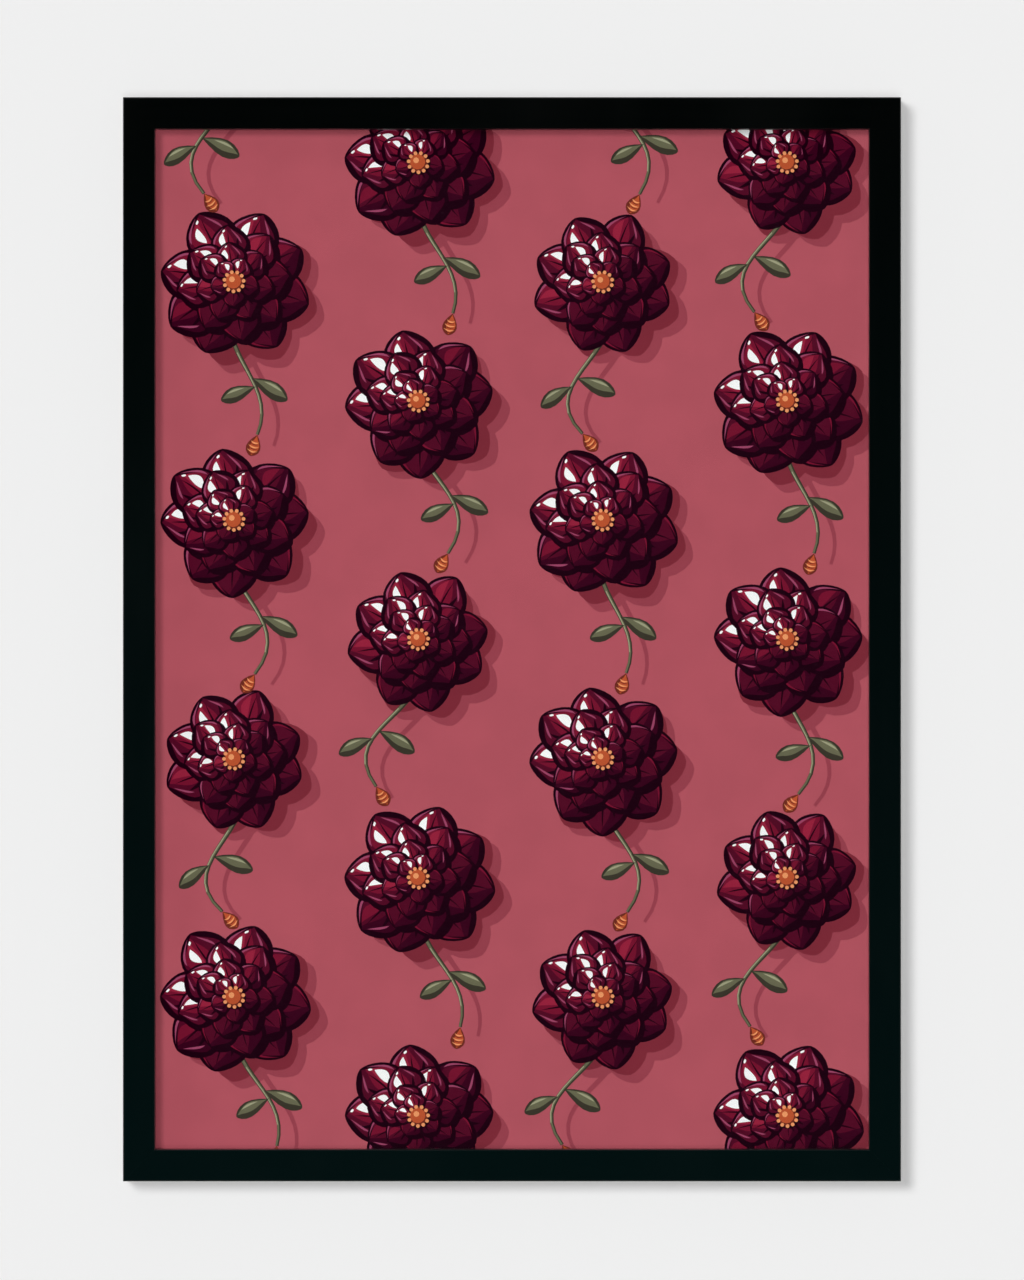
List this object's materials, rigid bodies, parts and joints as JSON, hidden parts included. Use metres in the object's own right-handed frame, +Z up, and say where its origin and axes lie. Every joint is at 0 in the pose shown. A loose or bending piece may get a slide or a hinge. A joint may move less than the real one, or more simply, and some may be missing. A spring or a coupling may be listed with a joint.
{
  "type": "framed art print",
  "caption": "Portrait picture frame of slim flat black moulding with a glazed, rose-ground floral print, a hardboard back held by bendable steel points, and a sawtooth hanger.",
  "frame": {"origin": "The apex of the hanger's middle notch, where the wall's nail carries the frame, in the plane of the wall.", "axes": "+Z up the frame's height, +Y from the front towards the wall, so the front faces -Y, and +X to the right as the front is seen."},
  "size_m": [0.3126, 0.0224, 0.4356],
  "materials": {
    "moulding": "smooth black satin lacquer over wood, with fine grain just showing and bare fibre at the back",
    "glazing": "clear float glass, polished faces and seamed edges",
    "print_paper": "matt heavyweight paper printed edge to edge, with a white back",
    "hardboard": "brown pressed hardboard with a fibrous mesh-marked face",
    "point_steel": "thin rolled steel, bright, with a faint rolling grain",
    "nail_steel": "bright stamped steel",
    "hanger_steel": "zinc-plated steel, softly spangled",
    "screw_steel": "zinc-plated steel, bright, with a turned head",
    "bumper_rubber": "moulded rubber, matt"
  },
  "bodies": {
    "root": {"rail_top": "moulding", "rail_bottom": "moulding", "stile_left": "moulding", "stile_right": "moulding", "glass": "glazing", "print": "print_paper", "backing_board": "hardboard", "point_rail_bottom_1": "point_steel", "point_rail_bottom_2": "point_steel", "point_stile_left_1": "point_steel", "point_stile_left_2": "point_steel", "point_stile_left_3": "point_steel", "point_rail_top_1": "point_steel", "point_rail_top_2": "point_steel", "point_stile_right_1": "point_steel", "point_stile_right_2": "point_steel", "point_stile_right_3": "point_steel", "corner_nail_bottom_left": "nail_steel", "corner_nail_bottom_right": "nail_steel", "corner_nail_top_left": "nail_steel", "corner_nail_top_right": "nail_steel", "hanger": "hanger_steel", "hanger_screw_left": "screw_steel", "hanger_screw_right": "screw_steel", "bumper_left": "bumper_rubber", "bumper_right": "bumper_rubber"}
  },
  "joints": []
}
